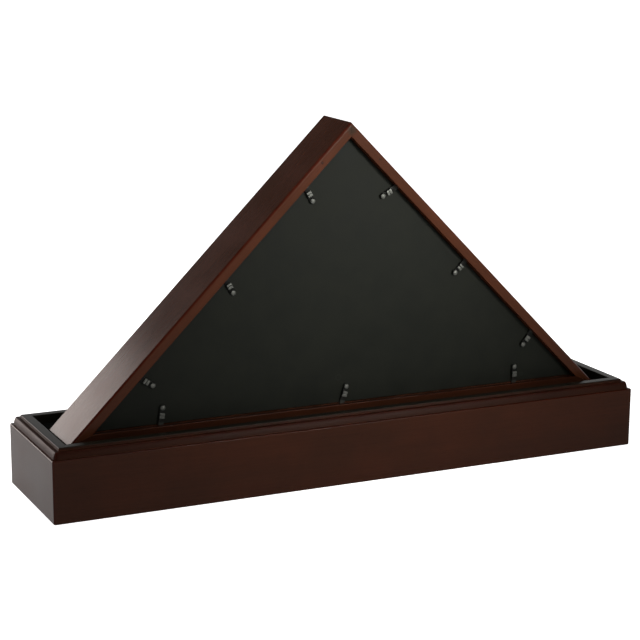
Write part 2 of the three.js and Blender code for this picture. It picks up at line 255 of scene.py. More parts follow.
def stainedMahogany(name, grain, shift, toneAndPaintedShade=1.0, spots=(), rim=None):
    material, tree, shader = newMaterial(name)
    s = stainSettings
    place = objectPlace(tree)
    mapping = {"Vector": place, "Rotation": grainTurns[grain], "Location": shift}
    along = put(tree, "ShaderNodeMapping", mapping).outputs["Vector"]
    ribbon = grainNoise(tree, along, s["ribbon"], *s["ribbonNoise"])
    fibre = grainNoise(tree, along, s["fibre"], *s["fibreNoise"])
    pore = grainNoise(tree, along, s["pore"], *s["poreNoise"])
    blotch = grainNoise(tree, along, s["blotch"], *s["blotchNoise"])
    redness = shared(tree, ribbon, blotch, s["ribbonShare"])
    redness = ranged(tree, redness, *s["redRange"], 0.0, 1.0)
    colour = mixColours(tree, redness, s["dark"], s["red"])
    # painted shade laid over the stain on the back-facing roundovers
    rollShadeMask = maths(tree, "MULTIPLY", paintedRollShade(tree), s["rollShadeShare"])
    colour = mixColours(tree, rollShadeMask, colour, s["rollShade"])
    streak = ranged(tree, fibre, *wideNoise, 1.0 - s["streakSpread"], 1.0 + s["streakSpread"])
    fleck = ranged(tree, pore, *s["poreRange"], s["poreDepth"], 1.0)
    shade = maths(tree, "MULTIPLY", maths(tree, "MULTIPLY", streak, fleck), toneAndPaintedShade)
    colour = mixColours(tree, 1.0, colour, grey(tree, shade), "MULTIPLY")
    worn = edgeMask(tree, s["edgeRadius"], *s["edgeLean"])
    worn = maths(tree, "MULTIPLY", worn, ranged(tree, blotch, *s["wearRange"], *s["wear"]))
    colour = mixColours(tree, worn, colour, s["worn"])
    for kind, centre, inner, outer in spots:
        patch = spotMask(tree, place, centre, inner, outer)
        patch = maths(tree, "MULTIPLY", patch, s["spotShare"])
        colour = mixColours(tree, patch, colour, s[kind])
    gloss = ranged(tree, blotch, *wideNoise, *s["gloss"])
    specular = s["specular"]
    if rim:
        black = rimMask(tree, place, rim)
        colour = mixColours(tree, black, colour, s["blackened"])
        dull = ranged(tree, blotch, *wideNoise, *s["mouldingGloss"])
        gloss = put(tree, "ShaderNodeMix", {0: black, 2: dull, 3: gloss}, data_type="FLOAT").outputs[0]
        specular = s["mouldingSpecular"]
    link(tree, colour, shader, "Base Color")
    gloss = maths(tree, "ADD", gloss, maths(tree, "MULTIPLY", worn, s["wornDulling"]))
    link(tree, gloss, shader, "Roughness")
    addBump(tree, shader, shared(tree, fibre, pore, s["reliefShare"]), s["bump"])
    shader.inputs["Specular IOR Level"].default_value = specular
    return material


# bare timber

timberSettings = {
    "grainNoise": (4.0, 0.6, 0.6),  # detail, roughness, distortion
    "fineNoise": (2.0,),
    "fineScale": 6,
    "grainShare": 0.7,
    "roughness": (0.62, 0.78),
    "plyDepth": 0.0012,  # thin veneers, seen on the edges
    "plyLine": (0.0005, 0.0007),
    "plyShade": 0.8,
    "bump": 0.3,
    "relief": 0.0003,
}
pineSettings = {
    "light": (0.55, 0.36, 0.18, 1),
    "dark": (0.38, 0.21, 0.09, 1),
    "stretch": (8, 120, 120),
}
plySettings = {
    "light": (0.50, 0.35, 0.20, 1),
    "dark": (0.36, 0.23, 0.12, 1),
    "stretch": (6, 90, 90),
}


def bareTimber(name, wood, layers=False):
    material, tree, shader = newMaterial(name)
    s = timberSettings
    place = objectPlace(tree)
    grain = grainNoise(tree, place, wood["stretch"], *s["grainNoise"])
    fineStretch = tuple(value * s["fineScale"] for value in wood["stretch"])
    fine = grainNoise(tree, place, fineStretch, *s["fineNoise"])
    mixed = shared(tree, grain, fine, s["grainShare"])
    colour = mixColours(tree, ranged(tree, mixed, *middleNoise, 0.0, 1.0), wood["dark"], wood["light"])
    if layers:
        height = put(tree, "ShaderNodeSeparateXYZ", {0: place}).outputs["Z"]
        ply = maths(tree, "PINGPONG", height, s["plyDepth"])
        shade = ranged(tree, ply, *s["plyLine"], s["plyShade"], 1.0)
        colour = mixColours(tree, 1.0, colour, grey(tree, shade), "MULTIPLY")
    link(tree, colour, shader, "Base Color")
    link(tree, ranged(tree, fine, *wideNoise, *s["roughness"]), shader, "Roughness")
    addBump(tree, shader, mixed, s["bump"], s["relief"])
    return material


# black felt

napSettings = {
    "tint": (0.0032, 0.0034, 0.0031),
    "low": 0.55,  # times the tint
    "high": 1.5,
    "fuzz": (1500, 1500, 1500),
    "fuzzNoise": (4.0, 0.7, 1.0),
    "fuzzShare": 0.6,
    "lint": (300, 300, 300),
    "lintNoise": (2.0, 0.5, 2.0),
    "lintRange": (0.68, 0.76),
    "lintShare": 0.4,
    "lintColour": (0.03, 0.03, 0.03, 1),
    "wide": (22, 22, 22),
    "wideNoise": (2.0,),
    "roughness": (0.86, 1.0),
    "bump": 0.8,
    "relief": 0.0004,
    "specular": 0.02,
    "sheen": 0.01,
    "sheenRoughness": 0.5,
}


def blackFelt(name):
    material, tree, shader = newMaterial(name)
    s = napSettings
    place = objectPlace(tree)
    fuzz = grainNoise(tree, place, s["fuzz"], *s["fuzzNoise"])
    lint = grainNoise(tree, place, s["lint"], *s["lintNoise"])
    wide = grainNoise(tree, place, s["wide"], *s["wideNoise"])
    level = shared(tree, fuzz, wide, s["fuzzShare"])
    low = tuple(value * s["low"] for value in s["tint"]) + (1,)
    high = tuple(value * s["high"] for value in s["tint"]) + (1,)
    colour = mixColours(tree, ranged(tree, level, *middleNoise, 0.0, 1.0), low, high)
    fleck = maths(tree, "MULTIPLY", ranged(tree, lint, *s["lintRange"], 0.0, 1.0), s["lintShare"])
    colour = mixColours(tree, fleck, colour, s["lintColour"])
    link(tree, colour, shader, "Base Color")
    link(tree, ranged(tree, fuzz, *wideNoise, *s["roughness"]), shader, "Roughness")
    addBump(tree, shader, fuzz, s["bump"], s["relief"])
    shader.inputs["Specular IOR Level"].default_value = s["specular"]
    shader.inputs["Sheen Weight"].default_value = s["sheen"]
    shader.inputs["Sheen Roughness"].default_value = s["sheenRoughness"]
    return material


# black-faced hardboard

panelSettings = {
    "dark": (0.0028, 0.0032, 0.0021, 1),
    "light": (0.0042, 0.0046, 0.0031, 1),
    "scuff": (0.0110, 0.0118, 0.0095, 1),
    "mottle": (45, 45, 45),
    "mottleNoise": (4.0, 0.6),
    "fine": (1400, 1400, 1400),
    "fineNoise": (2.0,),
    "ringWidth": (0.0003, 0.0011),
    "ringRange": (0.3, 0.6),
    "ringFaint": 0.3,
    "roughness": (0.46, 0.60),
    "bump": 0.15,
    "specular": 0.048,
}


def blackHardboard(name, rings):
    # smooth black-faced board; each ring is the faint mark of a washer, at x, z
    material, tree, shader = newMaterial(name)
    s = panelSettings
    place = objectPlace(tree)
    mottle = grainNoise(tree, place, s["mottle"], *s["mottleNoise"])
    fine = grainNoise(tree, place, s["fine"], *s["fineNoise"])
    colour = mixColours(tree, ranged(tree, mottle, *middleNoise, 0.0, 1.0), s["dark"], s["light"])
    for x, z, radius, strength in rings:
        offset = {0: place, 1: (x, 0, z)}
        offset = put(tree, "ShaderNodeVectorMath", offset, operation="SUBTRACT").outputs[0]
        flat = {0: offset, 1: (1, 0, 1)}
        flat = put(tree, "ShaderNodeVectorMath", flat, operation="MULTIPLY").outputs[0]
        distance = put(tree, "ShaderNodeVectorMath", {0: flat}, operation="LENGTH").outputs["Value"]
        away = maths(tree, "ABSOLUTE", maths(tree, "SUBTRACT", distance, radius))
        mark = ranged(tree, away, *s["ringWidth"], strength, 0.0)
        broken = ranged(tree, mottle, *s["ringRange"], s["ringFaint"], 1.0)
        colour = mixColours(tree, maths(tree, "MULTIPLY", mark, broken), colour, s["scuff"])
    link(tree, colour, shader, "Base Color")
    link(tree, ranged(tree, mottle, *wideNoise, *s["roughness"]), shader, "Roughness")
    addBump(tree, shader, fine, s["bump"])
    shader.inputs["Specular IOR Level"].default_value = s["specular"]
    return material


# black paint on the turn buttons and rivets

paintedSettings = {
    "paint": (0.0030, 0.0031, 0.0025, 1),
    # painted highlight on the high places and the tip, with paint worn thin there too
    "bare": (0.0640, 0.0650, 0.0580, 1),
    "wornAndHighlitRange": (0.0019, 0.0027),  # height above the strip's underside where the paint thins and the painted highlight starts
    "tipRange": (0.0162, 0.0170),  # along the button, where the rail wears the tip and a painted highlight lightens it
    "tipShare": 0.26,
    "mottle": (600, 600, 600),
    "mottleNoise": (3.0, 0.6),
    "patchRange": (0.3, 0.6),
    "patchLeast": 0.55,
    "metallic": 0.50,
    "roughness": (0.42, 0.56),
    "bump": 0.15,
    "specular": 0.08,
}


def paintedMetal(name):
    # lighter on the high places and the tip, partly paint worn through and partly a painted highlight;
    # "local" is each piece's own place before it was turned
    material, tree, shader = newMaterial(name)
    s = paintedSettings
    local = put(tree, "ShaderNodeAttribute", attribute_name="local").outputs["Vector"]
    axes = put(tree, "ShaderNodeSeparateXYZ", {0: local}).outputs
    mottle = grainNoise(tree, objectPlace(tree), s["mottle"], *s["mottleNoise"])
    # painted highlight, together with real wear, on the high places and near the tip
    top = ranged(tree, axes[2], *s["wornAndHighlitRange"], 0.0, 1.0)
    tip = ranged(tree, axes[0], *s["tipRange"], 0.0, s["tipShare"])
    wornAndHighlit = maths(tree, "MAXIMUM", top, tip)
    patchy = ranged(tree, mottle, *s["patchRange"], s["patchLeast"], 1.0)
    wornAndHighlit = maths(tree, "MULTIPLY", wornAndHighlit, patchy)
    colour = mixColours(tree, wornAndHighlit, s["paint"], s["bare"])
    link(tree, colour, shader, "Base Color")
    link(tree, ranged(tree, mottle, *wideNoise, *s["roughness"]), shader, "Roughness")
    addBump(tree, shader, mottle, s["bump"])
    shader.inputs["Metallic"].default_value = s["metallic"]
    shader.inputs["Specular IOR Level"].default_value = s["specular"]
    return material


# zinc-plated steel

steelSettings = {
    "dark": (0.42, 0.42, 0.40, 1),
    "light": (0.56, 0.56, 0.54, 1),
    "worn": (0.7, 0.7, 0.68, 1),
    "mottle": (500, 500, 500),
    "mottleNoise": (3.0, 0.6),
    "scratch": (4000, 4000, 300),
    "scratchNoise": (2.0,),
    "edgeRadius": 0.0003,
    "edgeLean": (0.85, 0.99),
    "wearRange": (0.4, 0.6),
    "wear": (0.1, 0.7),
    "roughness": (0.27, 0.43),
    "bump": 0.15,
}


def platedSteel(name):
    material, tree, shader = newMaterial(name)
    s = steelSettings
    place = objectPlace(tree)
    mottle = grainNoise(tree, place, s["mottle"], *s["mottleNoise"])
    scratch = grainNoise(tree, place, s["scratch"], *s["scratchNoise"])
    colour = mixColours(tree, ranged(tree, mottle, *middleNoise, 0.0, 1.0), s["dark"], s["light"])
    edge = edgeMask(tree, s["edgeRadius"], *s["edgeLean"])
    edge = maths(tree, "MULTIPLY", edge, ranged(tree, mottle, *s["wearRange"], *s["wear"]))
    colour = mixColours(tree, edge, colour, s["worn"])
    link(tree, colour, shader, "Base Color")
    link(tree, ranged(tree, scratch, *wideNoise, *s["roughness"]), shader, "Roughness")
    addBump(tree, shader, mottle, s["bump"])
    shader.inputs["Metallic"].default_value = 1.0
    return material


# clear glass

glassSettings = {
    "smear": (18, 18, 30),
    "smearNoise": (4.0, 0.7, 1.5),
    "smearRange": (0.45, 0.75),
    "roughness": (0.0, 0.09),
    "tintRange": (0.4, 0.7),
    "clean": (0.94, 0.985, 0.965, 1),
    "smeared": (0.90, 0.95, 0.93, 1),
    "refraction": 1.5,
}


def clearGlass(name):
    material, tree, shader = newMaterial(name)
    s = glassSettings
    smear = grainNoise(tree, objectPlace(tree), s["smear"], *s["smearNoise"])
    link(tree, ranged(tree, smear, *s["smearRange"], *s["roughness"]), shader, "Roughness")
    dirt = ranged(tree, smear, *s["tintRange"], 0.0, 1.0)
    link(tree, mixColours(tree, dirt, s["clean"], s["smeared"]), shader, "Base Color")
    shader.inputs["Transmission Weight"].default_value = 1.0
    shader.inputs["IOR"].default_value = s["refraction"]
    return material


# sizes read from the frame

seam = 0.3 * mm
hairline = 0.12 * mm  # the glued mitres are nearly closed
mergeDistance = 1e-6
boxes = {name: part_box(name) for name in nodes}
pedestalHalfX = boxes["base_board_right"][1].x
pedestalHalfY = boxes["base_board_back"][1].y
boardFoot = boxes["base_board_back"][0].z
boardTop = boxes["base_board_back"][1].z
boardInner = pedestalHalfY - boxes["base_board_back"][0].y
capFoot = boxes["cap_moulding_back"][0].z
rimTop = boxes["cap_moulding_back"][1].z
capInner = pedestalHalfY - boxes["cap_moulding_back"][0].y
caseFoot = boxes["rail_bottom"][0].z
caseApex = boxes["rail_right"][1].z + seam / 2
caseHalf = caseApex - caseFoot
caseRear = boxes["rail_bottom"][1].y
caseFront = boxes["rail_bottom"][0].y
panelRear = boxes["back_panel"][1].y
panelFront = boxes["back_panel"][0].y


# finishes

markSettings = {
    "fillerFromApex": 9 * mm,
    "fillerInner": 2.8 * mm,
    "fillerOuter": 6.8 * mm,
    "right": (0.9 * mm, 2.0 * mm),  # radii of the painted shade in and around the pin hole, full and faded
    "left": (0.6 * mm, 1.5 * mm),
}
rimSettings = {
    "height": rimTop - 0.9 * mm,
    "blend": 0.5 * mm,
    "halves": (pedestalHalfX - 14 * mm, pedestalHalfY - 14 * mm),
}


def railSpots(side):
    # the filler behind the apex, and painted shade in and around the hole over this rail's pin
    s = markSettings
    low, high = boxes["apex_pin_" + side]
    pin = ((low.x + high.x) / 2, caseRear, (low.z + high.z) / 2)
    filler = (0, caseRear, caseApex - s["fillerFromApex"])
    return [
        ("filler", filler, s["fillerInner"], s["fillerOuter"]),
        ("pinHole", pin, *s[side]),
    ]


# each board's grain direction, shift and tone; the foot rail's lower tone is painted shade where the rim
# keeps light off it
mahoganies = {
    "alongX": ("mahoganyLong", "alongX", (0.31, 0.12, 0.05)),
    "alongY": ("mahoganyEnds", "alongY", (1.7, 0.4, 0.2), 0.95),
    "capAlongX": ("mouldingLong", "alongX", (0.6, 0.9, 0.3), 0.68, (), rimSettings),
    "capAlongY": ("mouldingEnds", "alongY", (1.2, 0.1, 0.8), 0.70, (), rimSettings),
    "downRight": ("mahoganyRightRail", "downRight", (0.9, 0.3, 0.6), 1.46, railSpots("right")),
    "downLeft": ("mahoganyLeftRail", "downLeft", (2.3, 0.8, 0.1), 1.36, railSpots("left")),
    # painted shade: the foot rail's tone of 0.70 darkens it where the rim keeps the light off
    "foot": ("mahoganyFootRail", "alongX", (3.1, 0.5, 0.7), 0.70),
}
finishes = {key: stainedMahogany(*values) for key, values in mahoganies.items()}
finishes["pine"] = bareTimber("barePine", pineSettings)
finishes["plywood"] = bareTimber("birchPly", plySettings, layers=True)
finishes["felt"] = blackFelt("blackFelt")
finishes["blackMetal"] = paintedMetal("blackMetal")
finishes["steel"] = platedSteel("zincSteel")
finishes["glass"] = clearGlass("clearGlass")
print("finishes made:", len(finishes))


# mesh helpers

def arc(centreU, centreV, radius, start, end, steps):
    points = []
    for i in range(steps + 1):
        angle = math.radians(start + (end - start) * i / steps)
        points.append((centreU + radius * math.cos(angle), centreV + radius * math.sin(angle)))
    return points


def shrunk(section, by):
    # the same outline, moved inwards on every side
    sharpest = 0.8  # keeps narrow corners from running away
    count = len(section)
    pairs = [(section[i - 1], section[i]) for i in range(count)]
    area = sum(first[0] * second[1] - second[0] * first[1] for first, second in pairs)
    side = 1 if area > 0 else -1
    result = []
    for i in range(count):
        here = Vector(section[i])
        before = (here - Vector(section[i - 1])).normalized()
        after = (Vector(section[(i + 1) % count]) - here).normalized()
        inward = Vector((-before.y - after.y, before.x + after.x)) * side
        result.append(tuple(here + inward * (2 * by / max(inward.length_squared, sharpest))))
    return result


def addObject(name, mesh, finish):
    item = bpy.data.objects.new(name, mesh)
    bpy.context.scene.collection.objects.link(item)
    mesh.materials.clear()
    mesh.materials.append(finish)
    return item


def bakeModifiers(item):
    bpy.context.view_layer.update()
    graph = bpy.context.evaluated_depsgraph_get()
    mesh = bpy.data.meshes.new_from_object(item.evaluated_get(graph), depsgraph=graph)
    item.modifiers.clear()
    item.data = mesh
    mesh.name = item.name
    return mesh


def smoothed(item, angle):
    # flat faces keep their own shading and only the rounded edges blend
    for polygon in item.data.polygons:
        polygon.use_smooth = True
    item.data.set_sharp_from_angle(angle=math.radians(angle))
    weighted = item.modifiers.new("weighted", "WEIGHTED_NORMAL")
    weighted.keep_sharp = True
    bakeModifiers(item)


def barStation(corner, normal, mitre, radius, turn, slide):
    # turns (inset, v) into a plan point at one end: turn 1 is on the mitre, 0 on the straight
    openness = normal.dot(mitre)
    centre = corner - mitre * (radius / openness)
    aimed = normal.slerp(mitre, turn) if turn > 0 else normal

    def place(inset):
        if inset < radius:
            return centre + aimed * (radius - inset) + slide
        return centre - mitre * ((inset - radius) / openness) + slide

    return place


def mitredBar(name, section, corners, index, toWorld, finish, options):
    # one side of a frame whose outer corners go round anticlockwise
    count = len(corners)
    start = Vector(corners[index])
    end = Vector(corners[(index + 1) % count])
    along = (end - start).normalized()
    normal = Vector((along.y, -along.x))
    ends = []
    sides = ((start, corners[index - 1], 1), (end, corners[(index + 2) % count], -1))
    for corner, other, way in sides:
        outer = (corner - Vector(other)).normalized() * way
        otherNormal = Vector((outer.y, -outer.x))
        mitre = (normal + otherNormal).normalized()
        trim = along * (way * options["gap"] / 2 / normal.dot(mitre))
        ease = along * (way * options["ease"])
        ends.append((corner, mitre, trim, ease))
    radius = options["cornerRadius"]
    steps = options["steps"]
    small = shrunk(section, options["ease"])
    stations = []
    corner, mitre, trim, ease = ends[0]
    stations.append((small, barStation(corner, normal, mitre, radius, 1, trim)))
    for i in range(steps + 1):
        stations.append((section, barStation(corner, normal, mitre, radius, 1 - i / steps, trim + ease)))
    corner, mitre, trim, ease = ends[1]
    for i in range(steps + 1):
        stations.append((section, barStation(corner, normal, mitre, radius, i / steps, trim + ease)))
    stations.append((small, barStation(corner, normal, mitre, radius, 1, trim)))
    shape = bmesh.new()
    rings = [[shape.verts.new(toWorld(place(u), v)) for u, v in outline] for outline, place in stations]
    size = len(section)
    for first, second in zip(rings, rings[1:]):
        for i in range(size):
            shape.faces.new((first[i - 1], first[i], second[i], second[i - 1]))
    shape.faces.new(rings[0])
    shape.faces.new(reversed(rings[-1]))
    bmesh.ops.remove_doubles(shape, verts=shape.verts, dist=mergeDistance)
    bmesh.ops.recalc_face_normals(shape, faces=shape.faces)
    mesh = bpy.data.meshes.new(name)
    shape.to_mesh(mesh)
    shape.free()
    return addObject(name, mesh, finish)


def onFloorPlan(point, height):
    return Vector((point.x, point.y, height))


def onCasePlan(point, depth):
    return Vector((point.x, depth, point.y))


def standsFor(item, body, slot, *replaced):
    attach(item, body)
    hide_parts(*replaced)


# pedestal: four boards and four cap mouldings

boardSettings = {
    "topRound": 1.3 * mm,
    "bottomRound": 1.1 * mm,
    "cornerRadius": 2.2 * mm,
    "gap": hairline,
    "ease": 0.12 * mm,
    "steps": 5,
    "sharpFrom": 38,  # degrees between faces
}
capSettings = {
    "footInset": 2.6 * mm,
    "middleInset": 3.45 * mm,
    "topInset": 4.9 * mm,
    "upperHollow": 0.1 * mm,
    "lowerHollow": 0.08 * mm,
    "stepHeight": 78.8 * mm,
    "stepInset": 9.55 * mm,
    "stepRound": 0.8 * mm,
    "cove": 0.4 * mm,
    "rimInset": 9.95 * mm,
    "rimRound": 0.9 * mm,
    "cornerRadius": 7.5 * mm,
    "gap": hairline,
    "ease": 0.12 * mm,
    "steps": 5,
    "sharpFrom": 50,
}
plan = [
    (-pedestalHalfX, -pedestalHalfY),
    (pedestalHalfX, -pedestalHalfY),
    (pedestalHalfX, pedestalHalfY),
    (-pedestalHalfX, pedestalHalfY),
]
pedestalSides = {"front": 0, "right": 1, "back": 2, "left": 3}


def boardSection():
    s = boardSettings
    top, bottom = s["topRound"], s["bottomRound"]
    return [
        (boardInner, boardFoot),
        (boardInner, boardTop),
        *arc(top, boardTop - top, top, 90, 180, 6),
        *arc(bottom, boardFoot + bottom, bottom, 180, 270, 7),
    ]


def capSection():
    # from the recess, over the rim, down to the step and down the leaning riser to the board
    s = capSettings
    rim, step, cove = s["rimRound"], s["stepRound"], s["cove"]
    height, low = s["stepHeight"], capFoot - seam / 2
    middle = (height + low) / 2
    upper = (s["topInset"] + s["middleInset"]) / 2 - s["upperHollow"]
    lower = (s["footInset"] + s["middleInset"]) / 2 - s["lowerHollow"]
    return [
        (capInner, low),
        *arc(capInner - rim, rimTop - rim, rim, 0, 90, 5),
        *arc(s["rimInset"] + rim, rimTop - rim, rim, 90, 180, 5),
        *arc(s["stepInset"] - cove, height + cove, cove, 0, -90, 3),
        *arc(s["topInset"] + step, height - step, step, 90, 165, 6),
        (upper, (height + middle) / 2),
        (s["middleInset"], middle),
        (lower, (low + middle) / 2),
        (s["footInset"], low),
    ]


def makePedestal():
    kinds = (
        ("pedestalBoard_", "base_board_", boardSection, boardSettings, "alongX", "alongY"),
        ("capMoulding_", "cap_moulding_", capSection, capSettings, "capAlongX", "capAlongY"),
    )
    for side, index in pedestalSides.items():
        for name, node, section, settings, longFinish, endFinish in kinds:
            finish = finishes[longFinish if side in ("front", "back") else endFinish]
            bar = mitredBar(name + side, section(), plan, index, onFloorPlan, finish, settings)
            smoothed(bar, settings["sharpFrom"])
            standsFor(bar, "pedestal", "mahogany", node + side)


makePedestal()
print("pedestal boards and mouldings made")


# flag case: three rails and three glass stops

railSettings = {
    "edgeRound": 3 * mm,
    "borderWidth": 11.4 * mm,
    "ledgeWidth": 17 * mm,
    "lipWidth": 24 * mm,
    "lipThickness": 6 * mm,
    "lipRound": 2 * mm,
    "innerEase": 0.5 * mm,
    "grooveDepth": 3 * mm,
    "grooveStart": 0.6 * mm,  # behind the panel's rear face
    "grooveEnd": 3 * mm,
    "cornerRadius": 0.7 * mm,
    "gap": hairline,
    "ease": 0.12 * mm,
    "steps": 3,
    "sharpFrom": 38,
}
stopSettings = {
    "size": 6 * mm,
    "cornerRadius": 0,
    "gap": hairline,
    "ease": 0.1 * mm,
    "steps": 1,
    "sharpFrom": 38,
}
pinSettings = {
    "holeRadius": 0.8 * mm,
    "holeDepth": 0.6 * mm,
    "holeSides": 24,
}
casePlan = [(-caseHalf, caseFoot), (caseHalf, caseFoot), (0, caseApex)]
caseSides = {"bottom": 0, "right": 1, "left": 2}
railFinishes = {"bottom": "foot", "right": "downRight", "left": "downLeft"}


def railSection():
    s = railSettings
    edge, border, ease = s["edgeRound"], s["borderWidth"], s["innerEase"]
    ledgeY = panelFront - seam
    lipBack = caseFront + s["lipThickness"]
    grooveTop = panelRear + s["grooveEnd"]
    grooveLow = panelRear + s["grooveStart"]
    lip, lipRound = s["lipWidth"], s["lipRound"]
    return [
        *arc(edge, caseRear - edge, edge, 180, 90, 9),
        *arc(border - ease, caseRear - ease, ease, 90, 0, 3),
        (border, grooveTop),
        (border - s["grooveDepth"], grooveTop),
        (border - s["grooveDepth"], grooveLow),
        (border, grooveLow),
        (border, ledgeY),
        (s["ledgeWidth"], ledgeY),
        (s["ledgeWidth"], lipBack),
        (lip, lipBack),
        *arc(lip - lipRound, caseFront + lipRound, lipRound, 0, -90, 6),
        *arc(edge, caseFront + edge, edge, 270, 180, 9),
    ]


def stopSection():
    # a quarter-round bead that holds the glass against the lip
    size = stopSettings["size"]
    low = boxes["glass_stop_bottom"][0].y
    foot = railSettings["ledgeWidth"] + seam / 2
    return [(foot, low), (foot + size, low), *arc(foot, low, size, 12, 90, 8)]


def pinHole(side):
    # drills the small hole over the pin behind the apex
    s = pinSettings
    low, high = boxes["apex_pin_" + side]
    middle = (low + high) / 2
    shape = bmesh.new()
    radius = s["holeRadius"]
    bmesh.ops.create_cone(
        shape, cap_ends=True, segments=s["holeSides"], radius1=radius, radius2=radius,
        depth=2 * s["holeDepth"],
    )
    turn = Matrix.Rotation(math.radians(-90), 4, "X")
    shape.transform(Matrix.Translation((middle.x, caseRear, middle.z)) @ turn)
    mesh = bpy.data.meshes.new("pinHole_" + side)
    shape.to_mesh(mesh)
    shape.free()
    return mesh


def drilled(item, mesh):
    tool = bpy.data.objects.new(mesh.name, mesh)
    bpy.context.scene.collection.objects.link(tool)
    drill = item.modifiers.new("drill", "BOOLEAN")
    drill.operation = "DIFFERENCE"
    drill.solver = "EXACT"
    drill.object = tool
    bakeModifiers(item)
    bpy.data.objects.remove(tool)


def makeCase():
    for side, index in caseSides.items():
        laid = (casePlan, index, onCasePlan, finishes[railFinishes[side]])
        rail = mitredBar(f"rail_{side}_fine", railSection(), *laid, railSettings)
        if side != "bottom":
            drilled(rail, pinHole(side))
        smoothed(rail, railSettings["sharpFrom"])
        standsFor(rail, "flag_case", "mahogany", "rail_" + side)
        stop = mitredBar("glassBead_" + side, stopSection(), *laid, stopSettings)
        smoothed(stop, stopSettings["sharpFrom"])
        standsFor(stop, "flag_case", "mahogany", "glass_stop_" + side)


makeCase()
print("case rails and glass beads made")


# felt: the recess floor and the lining behind the panel

feltSettings = {
    "cell": 6 * mm,
    "unevenness": 0.12 * mm,
    "waveScale": 45,  # bumps to the metre, about
    "edgeRound": 0.25 * mm,
    "sharpFrom": 60,
}


def feltSheet(name, outline, thickness, toPlace, finish):
    # a soft-edged sheet: outline in its own plane, with a gently uneven upper face
    s = feltSettings
    shape = bmesh.new()
    corners = [shape.verts.new((x, y, 0)) for x, y in outline]
    shape.faces.new(corners)
    lowX = min(x for x, y in outline)
    highX = max(x for x, y in outline)
    lowY = min(y for x, y in outline)
    highY = max(y for x, y in outline)
    for axis, low, high in ((0, lowX, highX), (1, lowY, highY)):
        cuts = int((high - low) / s["cell"])
        for i in range(1, cuts):
            point = Vector((0, 0, 0))
            point[axis] = low + (high - low) * i / cuts
            direction = Vector((0, 0, 0))
            direction[axis] = 1
            bmesh.ops.bisect_plane(
                shape, geom=shape.verts[:] + shape.edges[:] + shape.faces[:],
                plane_co=point, plane_no=direction,
            )
    rim = {vertex for edge in shape.edges if edge.is_boundary for vertex in edge.verts}
    rimPlaces = {vertex.co.to_tuple(6) for vertex in rim}
    result = bmesh.ops.extrude_face_region(shape, geom=shape.faces[:])
    for vertex in (item for item in result["geom"] if isinstance(item, bmesh.types.BMVert)):
        onRim = vertex.co.to_tuple(6) in rimPlaces
        wave = noise.noise(vertex.co * s["waveScale"]) * s["unevenness"]
        vertex.co.z = thickness - (s["edgeRound"] if onRim else s["unevenness"] - wave)
    bmesh.ops.recalc_face_normals(shape, faces=shape.faces)
    for vertex in shape.verts:
        vertex.co = toPlace(vertex.co)
    bmesh.ops.recalc_face_normals(shape, faces=shape.faces)
    # the extrusion's own order changes from run to run
    for index, vertex in enumerate(sorted(shape.verts, key=lambda item: tuple(item.co))):
        vertex.index = index
    shape.verts.sort()
    middles = {face: tuple(face.calc_center_median()) for face in shape.faces}
    for index, face in enumerate(sorted(middles, key=middles.get)):
        face.index = index
    shape.faces.sort()
    mesh = bpy.data.meshes.new(name)
    shape.to_mesh(mesh)
    shape.free()
    item = addObject(name, mesh, finish)
    smoothed(item, s["sharpFrom"])
    return item


def makeFelts():
    low, high = boxes["recess_felt"]
    outline = [(low.x, low.y), (high.x, low.y), (high.x, high.y), (low.x, high.y)]
    recess = feltSheet(
        "recessFelt", outline, high.z - low.z, lambda point: Vector((point.x, point.y, low.z + point.z)),
        finishes["felt"],
    )
    standsFor(recess, "pedestal", "felt", "recess_felt")
    low, high = boxes["panel_lining"]
    outline = [(low.x, low.z), (high.x, low.z), (0, high.z)]
    rear = high.y
    lining = feltSheet(
        "panelLining", outline, high.y - low.y, lambda point: Vector((point.x, rear - point.z, point.y)),
        finishes["felt"],
    )
    standsFor(lining, "flag_case", "felt", "panel_lining")


makeFelts()
print("felt laid")


# geometry node helpers

easeSteps = 3
easeFrom = 35  # degrees between faces


def newTree(name, inputs):
    tree = bpy.data.node_groups.new(name, "GeometryNodeTree")
    tree.interface.new_socket("Geometry", in_out="INPUT", socket_type="NodeSocketGeometry")
    for label in inputs:
        kind = "NodeSocketMaterial" if label == "finish" else "NodeSocketFloat"
        tree.interface.new_socket(label, in_out="INPUT", socket_type=kind)
    tree.interface.new_socket("Geometry", in_out="OUTPUT", socket_type="NodeSocketGeometry")
    return tree, put(tree, "NodeGroupInput").outputs


def keptLocal(tree, geometry, place):
    # stores where each point is on the piece itself, for finishes that follow its shape
    inputs = {"Geometry": geometry, "Name": "local"}
    kind = {"data_type": "FLOAT_VECTOR", "domain": "POINT"}
    node = put(tree, "GeometryNodeStoreNamedAttribute", inputs, **kind)
    for socket in node.inputs:
        if socket.name == "Value" and socket.enabled:
            tree.links.new(place, socket)
    return node.outputs[0]


def endTree(tree, geometry, finish):
    smooth = put(tree, "GeometryNodeSetShadeSmooth", {"Geometry": geometry})
    real = put(tree, "GeometryNodeRealizeInstances", {"Geometry": smooth.outputs[0]})
    painted = put(tree, "GeometryNodeSetMaterial", {"Geometry": real.outputs[0], "Material": finish})
    put(tree, "NodeGroupOutput", {"Geometry": painted.outputs[0]})


